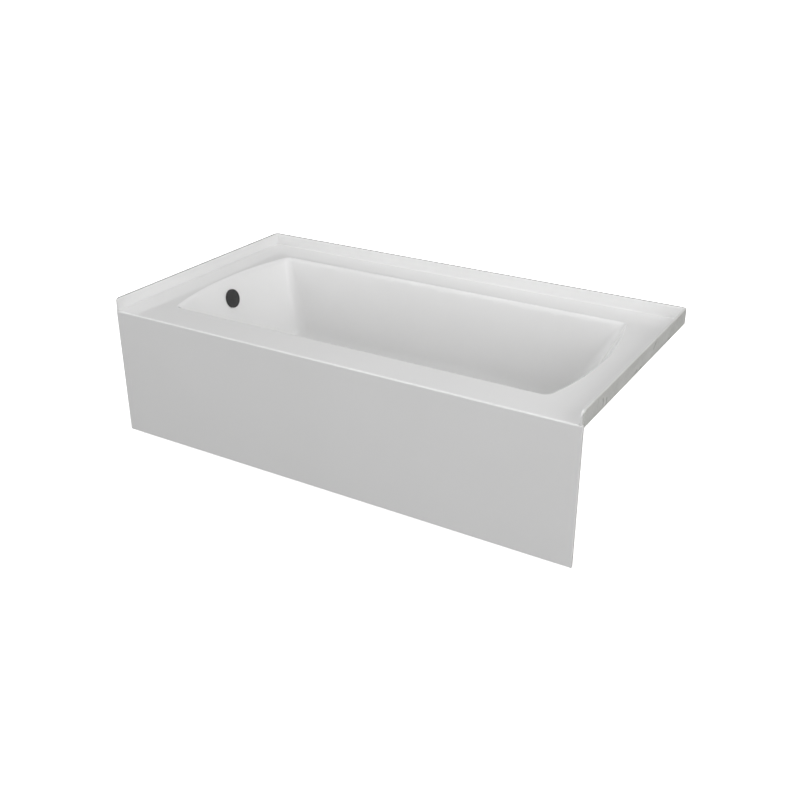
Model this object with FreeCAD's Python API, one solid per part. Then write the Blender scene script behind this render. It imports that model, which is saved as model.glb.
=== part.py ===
import FreeCAD
import Part
import math
import os
from FreeCAD import Placement, Rotation, Vector

# Alcove bathtub, left-hand drain. Millimetres, +X along the length to the right, +Z up.
# The front apron faces -Y. The origin is on the floor, under the middle of the tub.

os.makedirs("parts", exist_ok=True)

# Overall size
tub_length = 1524.0
tub_width = 812.8
deck_height = 406.4
tile_flange_rise = 38.1

# Sheet and laminate
shell_thickness = 4.0
laminate_thickness = 4.0
flange_plan_radius = 14.0
flange_end_radius = 16.0
flange_cove_radius = 5.0
flange_edge_radius = 1.5
front_edge_radius = 4.8
front_corner_radius = 3.0
front_lip_drop = 12.0

# Basin opening at the deck and the slopes below it
deck_width_side = 114.9
deck_width_drain_end = 91.0
deck_width_backrest_end = 97.0
end_bow_radius = 968.0
rim_corner_radius = 26.0
floor_corner_radius = 64.0
rim_roll_radius = 13.0
rim_roll_sweep = 72.0
side_wall_slope = 6.0
drain_wall_slope = 15.0
backrest_slope = 28.0
side_cove_radius = 70.0
drain_cove_radius = 70.0
backrest_cove_radius = 110.0
floor_height = 105.0
floor_fall_per_metre = 5.0
wall_first_step = 2.6
wall_last_step = 32.0

# Timber under the rim and behind the apron
batten_thickness = 18.0
rim_batten_width = 40.0
rim_batten_edge_gap = 12.0
rim_batten_end_gap = 70.0
apron_rail_width = 45.0
apron_rail_end_gap = 15.0
apron_floor_gap = 5.0
apron_post_width = 44.0
apron_post_spacing = 480.0

# Base board, cross rails and levelling feet
board_thickness = 12.0
board_side_margin = 10.0
board_end_margin = 45.0
board_corner_radius = 50.0
board_drain_hole_radius = 62.0
rail_width = 40.0
rail_depth = 25.0
rail_wall = 2.0
rail_half_length = 275.0
rail_from_drain = 120.0
rail_from_board_end = 110.0
rail_end_to_foot = 28.0
rail_screw_radius = 2.2
rail_screw_head_radius = 4.5
rail_screw_head_height = 2.5
rail_screw_bite = 9.0
rail_screw_row_near = 60.0
rail_screw_row_far = 140.0
screw_clearance = 0.08
stud_radius = 5.0
stud_clearance = 0.08
stud_above_rail = 13.0
stud_socket_depth = 8.0
nut_flats = 17.0
weld_nut_height = 8.0
lock_nut_height = 6.0
foot_radius = 27.0
foot_rim_height = 5.0
foot_height = 16.0
foot_neck_radius = 13.0
foot_hex_height = 7.0

# Waste fitting in the floor
drain_from_end = 282.0
drain_recess_depth = 5.0
drain_recess_radius = 40.0
drain_recess_flare = 7.0
drain_hole_radius = 25.0
drain_flange_radius = 36.5
drain_flange_thickness = 3.0
drain_dish_drop = 2.0
drain_dish_edge = 6.0
drain_body_radius = 19.0
drain_body_wall = 2.5
drain_body_length = 32.0
cross_bar_width = 4.0
cross_bar_height = 5.0
cross_bar_drop = 6.0
cross_hub_radius = 8.5
cartridge_radius = 5.5
cartridge_collar_radius = 8.0
cartridge_collar_height = 2.0
cartridge_bore_radius = 3.8
cartridge_drop = 15.0
cartridge_floor = 2.0
plunger_radius = 3.0
plunger_clearance = 0.06
plunger_length = 20.0
stopper_radius = 24.0
stopper_height = 6.0
stopper_seal_radius = 21.5
stopper_seal_width = 3.5
stopper_seal_height = 2.2
stopper_seat_gap = 0.05
spring_wire_radius = 0.4
spring_coils = 5.0
drain_gasket_thickness = 3.0
shoe_flange_radius = 30.0
shoe_flange_thickness = 4.0
shoe_thread_depth = 22.0
shoe_outlet_drop = 40.0

# Waste and overflow tubing
tube_radius = 19.05
tube_wall = 1.6
tube_clearance = 0.15
hub_wall = 4.0
hub_depth = 24.0
hub_step = 1.6
branch_step = 0.8
slip_nut_wall = 3.6
slip_nut_lip = 3.0
slip_nut_grip = 13.0
slip_washer_thickness = 4.0
tee_outlet_gap = 3.0

# Overflow
overflow_drop = 67.5
overflow_hole_radius = 25.0
overflow_spigot_radius = 23.0
overflow_spigot_wall = 3.0
overflow_spigot_setback = 1.0
overflow_flange_radius = 38.0
overflow_flange_thickness = 4.0
overflow_gasket_thickness = 5.0
overflow_neck = 6.0
overflow_bend_radius = 27.0
cover_radius = 31.0
cover_depth = 6.5
cover_wall = 2.0
cover_edge_radius = 1.6
cover_slot_width = 30.0
cover_slot_height = 3.5
cover_screw_spacing = 36.0
cover_screw_radius = 2.2
cover_screw_head_radius = 4.0
cover_screw_length = 22.0
cover_boss_radius = 4.2
fit_gap = 0.05

# Values that follow from the ones above
half_length = tub_length / 2.0
half_width = tub_width / 2.0
flange_top = deck_height + tile_flange_rise
wall_thickness = shell_thickness + laminate_thickness
deck_underside = deck_height - wall_thickness
opening_left = -half_length + deck_width_drain_end
opening_right = half_length - deck_width_backrest_end
opening_front = -half_width + deck_width_side
opening_back = half_width - deck_width_side
drain_x = -half_length + drain_from_end
overflow_height = deck_height - overflow_drop
floor_tilt = math.degrees(math.atan(floor_fall_per_metre / 1000.0))
base_underside = floor_height - wall_thickness
board_underside = base_underside - board_thickness
rail_underside = board_underside - rail_depth
drain_seat = floor_height - drain_recess_depth
drain_underside = drain_seat - wall_thickness
hub_radius = tube_radius + tube_clearance + hub_wall
waste_bore = tube_radius - tube_wall
main_radius = hub_radius + branch_step
main_bore = waste_bore + branch_step

SIDE = (side_wall_slope, side_cove_radius)
DRAIN_END = (drain_wall_slope, drain_cove_radius)
BACKREST = (backrest_slope, backrest_cove_radius)


def inset_at(z, wall, offset):
    """Distance inward from the rim of one basin wall at height z, offset outward by a thickness."""
    slope = math.radians(wall[0])
    cove = wall[1]
    rim = math.radians(rim_roll_sweep)
    roll = rim_roll_radius - offset
    roll_u = -rim_roll_radius * math.cos(rim)
    roll_z = deck_height - rim_roll_radius * math.sin(rim)
    if z >= roll_z + roll * math.sin(slope):
        return roll_u + math.sqrt(roll ** 2 - (z - roll_z) ** 2)
    cove_z = floor_height + cove
    if z >= cove_z - (cove + offset) * math.sin(slope):
        return roll_u + (roll - (z - roll_z) * math.sin(slope)) / math.cos(slope)
    cove_u = roll_u + (rim_roll_radius + cove - (cove_z - roll_z) * math.sin(slope)) / math.cos(slope)
    return cove_u - math.sqrt(max(0.0, (cove + offset) ** 2 - (cove_z - z) ** 2))


def corner_radius_at(z, offset):
    """Plan radius of the basin corners, growing from the rim to the floor."""
    depth = (deck_height - z) / (deck_height - floor_height)
    share = min(1.0, max(0.0, depth))
    side_inset = inset_at(z, SIDE, offset)
    widening = max(0.0, -side_inset)
    return rim_corner_radius + (floor_corner_radius - rim_corner_radius) * share + offset + widening


def arc_between(centre, start, end, radius):
    middle = (start + end) * 0.5 - centre
    middle.normalize()
    return Part.Arc(start, centre + middle * radius, end).toShape()


def basin_section(z, offset, tilt):
    """Closed outline of the basin at height z: straight sides, bowed ends, rounded corners."""
    front = opening_front + inset_at(z, SIDE, offset)
    back = opening_back - inset_at(z, SIDE, offset)
    left = opening_left + inset_at(z, DRAIN_END, offset)
    right = opening_right - inset_at(z, BACKREST, offset)
    radius = corner_radius_at(z, offset)
    half = (back - front) / 2.0
    rise = half - radius
    reach = math.sqrt((end_bow_radius - radius) ** 2 - rise ** 2)
    bow_right = Vector(right - end_bow_radius, 0, 0)
    bow_left = Vector(left + end_bow_radius, 0, 0)
    corners = []
    for bow, side_x, side_y in ((bow_right, 1, -1), (bow_right, 1, 1), (bow_left, -1, 1), (bow_left, -1, -1)):
        centre = Vector(bow.x + side_x * reach, side_y * rise, 0)
        outward = centre - bow
        outward.normalize()
        on_bow = bow + outward * end_bow_radius
        on_side = Vector(centre.x, side_y * half, 0)
        corners.append((centre, on_side, on_bow))
    front_right, back_right, back_left, front_left = corners
    edges = [
        Part.LineSegment(front_left[1], front_right[1]).toShape(),
        arc_between(front_right[0], front_right[1], front_right[2], radius),
        Part.Arc(front_right[2], Vector(right, 0, 0), back_right[2]).toShape(),
        arc_between(back_right[0], back_right[2], back_right[1], radius),
        Part.LineSegment(back_right[1], back_left[1]).toShape(),
        arc_between(back_left[0], back_left[1], back_left[2], radius),
        Part.Arc(back_left[2], Vector(left, 0, 0), front_left[2]).toShape(),
        arc_between(front_left[0], front_left[2], front_left[1], radius),
    ]
    wire = Part.Wire(edges)
    wire.translate(Vector(0, (front + back) / 2.0, z))
    if tilt:
        share = min(1.0, max(0.0, (deck_height - offset - z) / (deck_height - floor_height)))
        wire.rotate(Vector(drain_x, 0, z), Vector(0, 1, 0), -floor_tilt * share)
    return wire


def basin_skin(offset, tilt):
    """Open skin of the basin, grown outward by the offset, from the deck face down to the floor."""
    top = deck_height - offset
    roll = rim_roll_radius - offset
    roll_z = deck_height - rim_roll_radius * math.sin(math.radians(rim_roll_sweep))
    sweep = math.degrees(math.asin((top - roll_z) / roll))
    heights = []
    for share in (1.0, 0.82, 0.64, 0.46, 0.29, 0.13):
        heights.append(roll_z + roll * math.sin(math.radians(sweep * share)))
    lowest = floor_height - offset
    cove = backrest_cove_radius + offset
    cove_heights = [lowest + cove * (1.0 - math.cos(math.radians(a))) for a in (70, 60, 50, 41, 32, 24, 16, 8, 0)]
    step = wall_first_step
    while heights[-1] - step * 1.6 > cove_heights[0]:
        heights.append(heights[-1] - step)
        step = min(step * 1.5, wall_last_step)
    heights.extend(cove_heights)
    return Part.makeLoft([basin_section(z, offset, tilt) for z in heights], False, False)


def end_wires(skin):
    """The top and bottom edges of a basin skin, as closed wires."""
    wires = [Part.Wire(group) for group in Part.sortEdges(skin.Shells[0].getFreeEdges().Edges)]
    wires.sort(key=lambda wire: wire.BoundBox.ZMin)
    return wires[-1], wires[0]


def with_basin(body, upper, upper_z, lower, lower_z):
    """Opens a solid deck at both its flat faces and joins the two basin skins to it, as one closed solid."""
    faces = []
    for z, skin in ((upper_z, upper), (lower_z, lower)):
        top, bottom = end_wires(skin)
        level = [f for f in body.Faces if f.BoundBox.ZLength < 0.001 and abs(f.BoundBox.ZMin - z) < 0.001]
        level.sort(key=lambda face: face.Area)
        faces.append(Part.makeFace([level[-1].OuterWire, top], "Part::FaceMakerBullseye"))
        faces.append(Part.Face(bottom))
        faces.extend(skin.Faces)
        body_faces = [f for f in body.Faces if not f.isSame(level[-1])]
        body = Part.Compound(body_faces)
    faces.extend(body.Faces)
    joined = Part.Shell(faces)
    joined.sewShape()
    solid = Part.Solid(joined)
    if solid.Volume < 0:
        solid.reverse()
    return solid


def deck_outline(inset, front):
    """Plan face of the deck: square at the front, rounded at the two back corners."""
    right = half_length - inset
    back = half_width - inset
    radius = flange_plan_radius - inset
    turn = radius * (1.0 - math.sqrt(0.5))
    a = Vector(-right, front, 0)
    b = Vector(right, front, 0)
    c = Vector(right, back - radius, 0)
    c_mid = Vector(right - turn, back - turn, 0)
    d = Vector(right - radius, back, 0)
    e = Vector(-right + radius, back, 0)
    e_mid = Vector(-right + turn, back - turn, 0)
    f = Vector(-right, back - radius, 0)
    edges = [
        Part.LineSegment(a, b).toShape(),
        Part.LineSegment(b, c).toShape(),
        Part.Arc(c, c_mid, d).toShape(),
        Part.LineSegment(d, e).toShape(),
        Part.Arc(e, e_mid, f).toShape(),
        Part.LineSegment(f, a).toShape(),
    ]
    return Part.Face(Part.Wire(edges))


def deck_prism(inset, front, bottom, top):
    face = deck_outline(inset, front)
    face.translate(Vector(0, 0, bottom))
    return face.extrude(Vector(0, 0, top - bottom))


def side_profile(points, width):
    """Prism along X, centred, from a closed run of (kind, y, z) points."""
    edges = []
    last = Vector(0, points[0][1], points[0][2])
    pending = None
    for kind, y, z in points[1:] + [("line", points[0][1], points[0][2])]:
        here = Vector(0, y, z)
        if kind == "through":
            pending = here
        elif pending is not None:
            edges.append(Part.Arc(last, pending, here).toShape())
            pending = None
            last = here
        else:
            edges.append(Part.LineSegment(last, here).toShape())
            last = here
    face = Part.Face(Part.Wire(edges))
    face.translate(Vector(-width / 2.0, 0, 0))
    return face.extrude(Vector(width, 0, 0))


def box_between(x0, x1, y0, y1, z0, z1):
    return Part.makeBox(x1 - x0, y1 - y0, z1 - z0, Vector(x0, y0, z0))


def cylinder(radius, start, direction, length):
    return Part.makeCylinder(radius, length, start, direction)


def ring(outer, inner, start, direction, length):
    overrun = direction * 1.0
    return cylinder(outer, start, direction, length).cut(
        cylinder(inner, start - overrun, direction, length + 2.0))


def hexagon_prism(flats, start, height):
    corner = flats / math.sqrt(3.0)
    points = []
    for step in range(7):
        angle = math.radians(60.0 * step)
        points.append(start + Vector(corner * math.cos(angle), corner * math.sin(angle), 0))
    return Part.Face(Part.makePolygon(points)).extrude(Vector(0, 0, height))


def write(name, shape):
    shape.exportStep("parts/" + name + ".step")


UP = Vector(0, 0, 1)
DOWN = Vector(0, 0, -1)
LEFT = Vector(-1, 0, 0)
RIGHT = Vector(1, 0, 0)

# ---------------------------------------------------------------- overflow frame
# Local axes of the overflow: z points into the basin square to the sloping end wall, x points down it.
overflow_wall_x = opening_left + inset_at(overflow_height, DRAIN_END, 0.0)
overflow_origin = Vector(overflow_wall_x, 0, overflow_height)
overflow_place = Placement(overflow_origin, Rotation(Vector(0, 1, 0), 90.0 - drain_wall_slope))
inward = Vector(math.cos(math.radians(drain_wall_slope)), 0, math.sin(math.radians(drain_wall_slope)))


def at_overflow(shape):
    placed = shape.copy()
    placed.Placement = overflow_place.multiply(placed.Placement)
    return placed


overflow_hole = cylinder(overflow_hole_radius, overflow_origin - inward * overflow_flange_radius, inward,
                         2.0 * overflow_flange_radius)

# ---------------------------------------------------------------- acrylic shell
inner_skin = basin_skin(0.0, True)
middle_skin = basin_skin(shell_thickness, True)
outer_skin = basin_skin(wall_thickness, False)

flange_front_cut = side_profile([
    ("line", -tub_width, deck_height + 0.5),
    ("line", -half_width, deck_height + 0.5),
    ("line", -half_width, flange_top - flange_end_radius),
    ("through", -half_width + flange_end_radius * (1.0 - math.sqrt(0.5)),
     flange_top - flange_end_radius * (1.0 - math.sqrt(0.5))),
    ("line", -half_width + flange_end_radius, flange_top),
    ("line", -half_width + flange_end_radius, flange_top + 10.0),
    ("line", -tub_width, flange_top + 10.0),
], tub_length + 20.0)

upstand = deck_prism(laminate_thickness, -half_width, deck_height - shell_thickness, flange_top)
upstand_space = deck_prism(wall_thickness, -half_width - 10.0, deck_height, flange_top + 10.0)
upstand = upstand.cut(upstand_space)
cove_edges = []
top_edges = []
for edge in upstand.Edges:
    box = edge.BoundBox
    inner_x = half_length - wall_thickness + 0.1
    inner = box.XMax < inner_x and box.XMin > -inner_x and box.YMax < half_width - wall_thickness + 0.1
    level = box.ZLength < 0.01
    if inner and level and abs(box.ZMin - deck_height) < 0.01 and box.YMax > -half_width + 1.0:
        cove_edges.append(edge)
    if level and abs(box.ZMin - flange_top) < 0.01 and box.YMax > -half_width + 1.0:
        if inner:
            top_edges.append(edge)
upstand = upstand.makeFillet(flange_cove_radius, cove_edges)
top_edges = []
for edge in upstand.Edges:
    box = edge.BoundBox
    inner_x = half_length - wall_thickness + 0.1
    inner = box.XMax < inner_x and box.XMin > -inner_x and box.YMax < half_width - wall_thickness + 0.1
    if inner and box.ZLength < 0.01 and abs(box.ZMin - flange_top) < 0.01 and box.YMax > -half_width + 1.0:
        top_edges.append(edge)
upstand = upstand.makeFillet(flange_edge_radius, top_edges)
upstand = upstand.cut(flange_front_cut)

outer_turn = front_edge_radius * (1.0 - math.sqrt(0.5))
inner_radius = front_edge_radius - shell_thickness
inner_turn = inner_radius * (1.0 - math.sqrt(0.5))
lip_bottom = deck_height - front_lip_drop
lip_back = -half_width + front_edge_radius
front_lip = side_profile([
    ("line", -half_width, lip_bottom),
    ("line", -half_width, deck_height - front_edge_radius),
    ("through", -half_width + outer_turn, deck_height - outer_turn),
    ("line", lip_back, deck_height),
    ("line", lip_back, deck_height - shell_thickness),
    ("through", -half_width + shell_thickness + inner_turn, deck_height - shell_thickness - inner_turn),
    ("line", -half_width + shell_thickness, deck_height - front_edge_radius),
    ("line", -half_width + shell_thickness, lip_bottom),
], tub_length)

# The sheet's upright front corners are eased, down the lip and the apron alike
corner_x = half_length - front_corner_radius
corner_y = -half_width + front_corner_radius
corner_space = box_between(corner_x, half_length + 1.0, -half_width - 1.0, corner_y, 0.0, deck_height)
corner_space = corner_space.cut(cylinder(front_corner_radius, Vector(corner_x, corner_y, 0), UP, deck_height))
corner_spaces = corner_space.fuse(corner_space.mirror(Vector(0, 0, 0), RIGHT))

front_trim = box_between(-half_length - 5.0, half_length + 5.0, -half_width - 5.0, lip_back,
                         deck_height - shell_thickness - 5.0, deck_height)
deck_and_flange = upstand.cut(front_trim).fuse(front_lip.cut(corner_spaces)).removeSplitter()
recess_top = drain_recess_radius + drain_recess_flare
drain_centre = Vector(drain_x, 0, 0)
recess_space = Part.makeCone(drain_recess_radius, recess_top, drain_recess_depth,
                             drain_centre + UP * drain_seat)
recess_shell = Part.makeCone(drain_recess_radius + shell_thickness, recess_top + shell_thickness,
                             drain_recess_depth, drain_centre + UP * (drain_seat - shell_thickness))
recess_shell = recess_shell.fuse(cylinder(recess_top + shell_thickness,
                                          drain_centre + UP * (floor_height - shell_thickness),
                                          UP, shell_thickness * 0.5))
recess_laminate = Part.makeCone(drain_recess_radius + wall_thickness, recess_top + wall_thickness,
                                drain_recess_depth, drain_centre + UP * drain_underside)
recess_cap = cylinder(recess_top, drain_centre + UP * floor_height, UP, 2.0)
drain_hole = cylinder(drain_hole_radius, drain_centre, UP, floor_height + 20.0)

shell_body = with_basin(deck_and_flange, inner_skin, deck_height, middle_skin, deck_height - shell_thickness)
shell_body = shell_body.fuse(recess_shell).cut(recess_space.fuse(recess_cap))
basin_shell = shell_body.cut(drain_hole).cut(overflow_hole)
write("basin_shell", basin_shell)

# ---------------------------------------------------------------- glass-fibre laminate
laminate_front = -half_width + shell_thickness
laminate_deck = deck_prism(0.0, laminate_front, deck_underside, deck_height - shell_thickness)
laminate_band = deck_prism(0.0, laminate_front, deck_underside, flange_top)
laminate_band = laminate_band.cut(deck_prism(laminate_thickness, laminate_front - 10.0, 0.0, flange_top + 10.0))
laminate_band = laminate_band.cut(flange_front_cut)
laminate_plate = laminate_deck.fuse(laminate_band).cut(front_lip).removeSplitter()
laminate_body = with_basin(laminate_plate, middle_skin, deck_height - shell_thickness, outer_skin, deck_underside)
laminate_body = laminate_body.fuse(recess_laminate).cut(recess_shell)
laminate = laminate_body.cut(drain_hole).cut(overflow_hole)
write("laminate_backing", laminate)

# ---------------------------------------------------------------- apron
apron_back = -half_width + shell_thickness
apron = box_between(-half_length, half_length, -half_width, apron_back, 0.0, lip_bottom)
write("apron_panel", apron.cut(corner_spaces))
backing_back = apron_back + laminate_thickness
apron_backing = box_between(-half_length, half_length, apron_back, backing_back, 0.0, deck_underside)
write("apron_laminate", apron_backing.cut(front_lip))

rail_face = backing_back + batten_thickness
rail_x = half_length - apron_rail_end_gap
top_rail_bottom = deck_underside - apron_rail_width
bottom_rail_top = apron_floor_gap + apron_rail_width
write("apron_top_rail", box_between(-rail_x, rail_x, backing_back, rail_face, top_rail_bottom, deck_underside))
write("apron_bottom_rail", box_between(-rail_x, rail_x, backing_back, rail_face, apron_floor_gap,
                                       bottom_rail_top))
for name, place in (("left", -apron_post_spacing), ("middle", 0.0), ("right", apron_post_spacing)):
    post = box_between(place - apron_post_width / 2.0, place + apron_post_width / 2.0,
                       backing_back, rail_face, bottom_rail_top, top_rail_bottom)
    write("apron_post_" + name, post)

# ---------------------------------------------------------------- rim battens
batten_bottom = deck_underside - batten_thickness
batten_out_x = half_length - rim_batten_edge_gap
batten_in_x = batten_out_x - rim_batten_width
batten_back_y = half_width - rim_batten_edge_gap
batten_span = half_width - rim_batten_end_gap
write("rim_batten_back", box_between(-batten_out_x, batten_out_x, batten_back_y - rim_batten_width,
                                     batten_back_y, batten_bottom, deck_underside))
write("rim_batten_left", box_between(-batten_out_x, -batten_in_x, -batten_span, batten_span - 0.5,
                                     batten_bottom, deck_underside))
write("rim_batten_right", box_between(batten_in_x, batten_out_x, -batten_span, batten_span - 0.5,
                                      batten_bottom, deck_underside))

# ---------------------------------------------------------------- base board
flat_left = opening_left + inset_at(base_underside, DRAIN_END, wall_thickness)
flat_right = opening_right - inset_at(base_underside, BACKREST, wall_thickness)
flat_half = opening_back - inset_at(base_underside, SIDE, wall_thickness)
board_left = flat_left + board_end_margin
board_right = flat_right - board_end_margin
board_half = flat_half - board_side_margin
board = box_between(board_left, board_right, -board_half, board_half, board_underside, base_underside)
upright = [e for e in board.Edges if e.BoundBox.ZLength > board_thickness - 0.1]
board = board.makeFillet(board_corner_radius, upright)
board = board.cut(cylinder(board_drain_hole_radius, drain_centre, UP, floor_height))

rail_left_x = drain_x + rail_from_drain
rail_right_x = board_right - rail_from_board_end
screw_places = []
for rail_x_now in (rail_left_x, rail_right_x):
    for row in (rail_screw_row_near, rail_screw_row_far):
        for side in (-1.0, 1.0):
            screw_places.append(Vector(rail_x_now, side * row, 0))
rail_web_underside = board_underside - rail_wall
screws = []
for place in screw_places:
    head_start = place + UP * (rail_web_underside - rail_screw_head_height)
    shank_start = place + UP * rail_web_underside
    shank_length = rail_wall + rail_screw_bite
    board = board.cut(cylinder(rail_screw_radius + screw_clearance, shank_start, UP, shank_length))
    head = cylinder(rail_screw_head_radius, head_start, UP, rail_screw_head_height)
    screws.append(head.fuse(cylinder(rail_screw_radius, shank_start, UP, shank_length)))
write("base_board", board)
write("rail_screws", Part.makeCompound(screws))

# ---------------------------------------------------------------- cross rails and feet
foot_y = rail_half_length - rail_end_to_foot
stud_top = board_underside + stud_above_rail
weld_nut_bottom = rail_web_underside - weld_nut_height
lock_nut_bottom = weld_nut_bottom - lock_nut_height
stud_hole = stud_radius + stud_clearance


def cross_rail(x):
    outer = box_between(x - rail_width / 2.0, x + rail_width / 2.0, -rail_half_length, rail_half_length,
                        rail_underside, board_underside)
    inside = rail_width / 2.0 - rail_wall
    rail = outer.cut(box_between(x - inside, x + inside, -rail_half_length - 1.0, rail_half_length + 1.0,
                                 rail_underside - 1.0, rail_web_underside))
    for place in screw_places:
        if abs(place.x - x) < 1.0:
            rail = rail.cut(cylinder(rail_screw_radius + screw_clearance, place + UP * rail_underside,
                                     UP, rail_depth + 1.0))
    for y in (-foot_y, foot_y):
        rail = rail.fuse(hexagon_prism(nut_flats, Vector(x, y, weld_nut_bottom), weld_nut_height))
        rail = rail.cut(cylinder(stud_hole, Vector(x, y, weld_nut_bottom - 1.0), UP, rail_depth))
    return rail


write("cross_rail_left", cross_rail(rail_left_x))
write("cross_rail_right", cross_rail(rail_right_x))

lock_nuts = []
for name, x, y in (("front_left", rail_left_x, -foot_y), ("back_left", rail_left_x, foot_y),
                   ("front_right", rail_right_x, -foot_y), ("back_right", rail_right_x, foot_y)):
    centre = Vector(x, y, 0)
    nut = hexagon_prism(nut_flats, Vector(x, y, lock_nut_bottom), lock_nut_height)
    lock_nuts.append(nut.cut(cylinder(stud_hole, centre + UP * (lock_nut_bottom - 1.0), UP,
                                      lock_nut_height + 2.0)))
    socket_floor = foot_height - stud_socket_depth
    stud = cylinder(stud_radius, centre + UP * socket_floor, UP, stud_top - socket_floor)
    stud = stud.fuse(hexagon_prism(nut_flats, Vector(x, y, foot_height), foot_hex_height))
    write("foot_stud_" + name, stud)
    pad = cylinder(foot_radius, centre, UP, foot_rim_height)
    pad = pad.fuse(Part.makeCone(foot_radius, foot_neck_radius, foot_height - foot_rim_height,
                                 centre + UP * foot_rim_height))
    pad = pad.cut(cylinder(stud_radius + fit_gap, centre + UP * socket_floor, UP, foot_height))
    write("foot_pad_" + name, pad)
write("foot_lock_nuts", Part.makeCompound(lock_nuts))

# ---------------------------------------------------------------- drain body and stopper
body_inner = drain_body_radius - drain_body_wall
flange_level = drain_seat + drain_flange_thickness
drain_body = cylinder(drain_flange_radius, drain_centre + UP * drain_seat, UP, drain_flange_thickness)
rim_edges = [e for e in drain_body.Edges if e.BoundBox.ZMin > flange_level - 0.1]
drain_body = drain_body.makeFillet(drain_flange_thickness * 0.6, rim_edges)
body_bottom = drain_seat - drain_body_length
drain_body = drain_body.fuse(cylinder(drain_body_radius, drain_centre + UP * body_bottom, UP,
                                      drain_body_length + drain_flange_thickness * 0.5))
drain_body = drain_body.cut(cylinder(body_inner, drain_centre + UP * (body_bottom - 1.0), UP,
                                     drain_body_length + drain_flange_thickness + 2.0))
dish_inner = body_inner - 0.5
dish_outer = drain_flange_radius - drain_dish_edge
dish_level = flange_level - drain_dish_drop
dish = Part.makeCone(dish_inner, dish_outer, drain_dish_drop, drain_centre + UP * dish_level)
drain_body = drain_body.cut(dish)
cross_top = drain_seat - cross_bar_drop
cross_bottom = cross_top - cross_bar_height
for turn in (0.0, 90.0):
    bar = box_between(-drain_body_radius + 0.5, drain_body_radius - 0.5, -cross_bar_width / 2.0,
                      cross_bar_width / 2.0, cross_bottom, cross_top)
    bar.rotate(Vector(0, 0, 0), UP, turn)
    bar.translate(drain_centre)
    drain_body = drain_body.fuse(bar)
drain_body = drain_body.fuse(cylinder(cross_hub_radius, drain_centre + UP * cross_bottom, UP,
                                      cross_bar_height))
drain_body = drain_body.cut(cylinder(cartridge_radius + fit_gap, drain_centre + UP * (cross_bottom - 1.0),
                                     UP, cross_bar_height + 2.0))
write("drain_body", drain_body)

# The cap rests on its seal, the seal on the dished flange.
dish_slope = drain_dish_drop / (dish_outer - dish_inner)
seal_level = dish_level + (stopper_seal_radius - dish_inner) * dish_slope + stopper_seat_gap
cap_level = seal_level + stopper_seal_height
cartridge_bottom = cross_bottom - cartridge_drop
cartridge_top = cross_top + cartridge_collar_height
cartridge = cylinder(cartridge_radius, drain_centre + UP * cartridge_bottom, UP,
                     cartridge_top - cartridge_bottom)
cartridge = cartridge.fuse(cylinder(cartridge_collar_radius, drain_centre + UP * cross_top, UP,
                                    cartridge_collar_height))
cartridge = cartridge.cut(cylinder(cartridge_bore_radius, drain_centre + UP * (cartridge_bottom + cartridge_floor),
                                   UP, cartridge_drop - cartridge_floor))
cartridge = cartridge.cut(cylinder(plunger_radius + plunger_clearance, drain_centre + UP * (cross_bottom - 1.0),
                                   UP, cartridge_drop))
write("stopper_cartridge", cartridge)

cap = cylinder(stopper_radius, drain_centre + UP * cap_level, UP, stopper_height)
cap_edges = [e for e in cap.Edges if e.BoundBox.ZMin > cap_level + stopper_height - 0.1]
cap = cap.makeFillet(stopper_height * 0.55, cap_edges)
cap = cap.fuse(cylinder(plunger_radius, drain_centre + UP * (cap_level - plunger_length), UP,
                        plunger_length + 1.0))
write("stopper_cap", cap)

seal = ring(stopper_seal_radius, stopper_seal_radius - stopper_seal_width, drain_centre + UP * seal_level, UP,
            stopper_seal_height)
write("stopper_seal", seal)

spring_bottom = cartridge_bottom + cartridge_floor + spring_wire_radius
spring_top = cap_level - plunger_length - spring_wire_radius
spring_radius = cartridge_bore_radius - spring_wire_radius - 0.3
coil_rise = spring_top - spring_bottom
helix = Part.makeHelix(coil_rise / spring_coils, coil_rise, spring_radius)
wire_section = Part.Wire(Part.makeCircle(spring_wire_radius, Vector(spring_radius, 0, 0), Vector(0, 1, 0)))
spring = Part.Wire(helix).makePipeShell([wire_section], True, True)
spring.translate(drain_centre + UP * spring_bottom)
write("stopper_spring", spring)

# ---------------------------------------------------------------- drain shoe
gasket_bottom = drain_underside - drain_gasket_thickness
write("drain_gasket", ring(shoe_flange_radius, drain_body_radius + 0.3, drain_centre + UP * gasket_bottom, UP,
                           drain_gasket_thickness))
waste_level = gasket_bottom - shoe_outlet_drop
shoe_bottom = waste_level - main_bore - hub_wall
shoe_start = Vector(drain_x, 0, waste_level)
shoe_mouth = main_radius + hub_depth
shoe = cylinder(main_radius, drain_centre + UP * shoe_bottom, UP, gasket_bottom - shoe_bottom)
shoe = shoe.fuse(cylinder(shoe_flange_radius, drain_centre + UP * (gasket_bottom - shoe_flange_thickness), UP,
                          shoe_flange_thickness))
shoe = shoe.fuse(cylinder(hub_radius, shoe_start, LEFT, shoe_mouth))
shoe = shoe.cut(cylinder(drain_body_radius + fit_gap, drain_centre + UP * (gasket_bottom - shoe_thread_depth),
                         UP, shoe_thread_depth + 1.0))
shoe = shoe.cut(cylinder(main_bore, drain_centre + UP * (shoe_bottom + hub_wall), UP,
                         gasket_bottom - shoe_bottom))
shoe = shoe.cut(cylinder(waste_bore, shoe_start, LEFT, shoe_mouth + 1.0))
shoe = shoe.cut(cylinder(tube_radius + tube_clearance, shoe_start + LEFT * main_radius, LEFT, hub_depth + 1.0))
write("drain_shoe", shoe)


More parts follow.
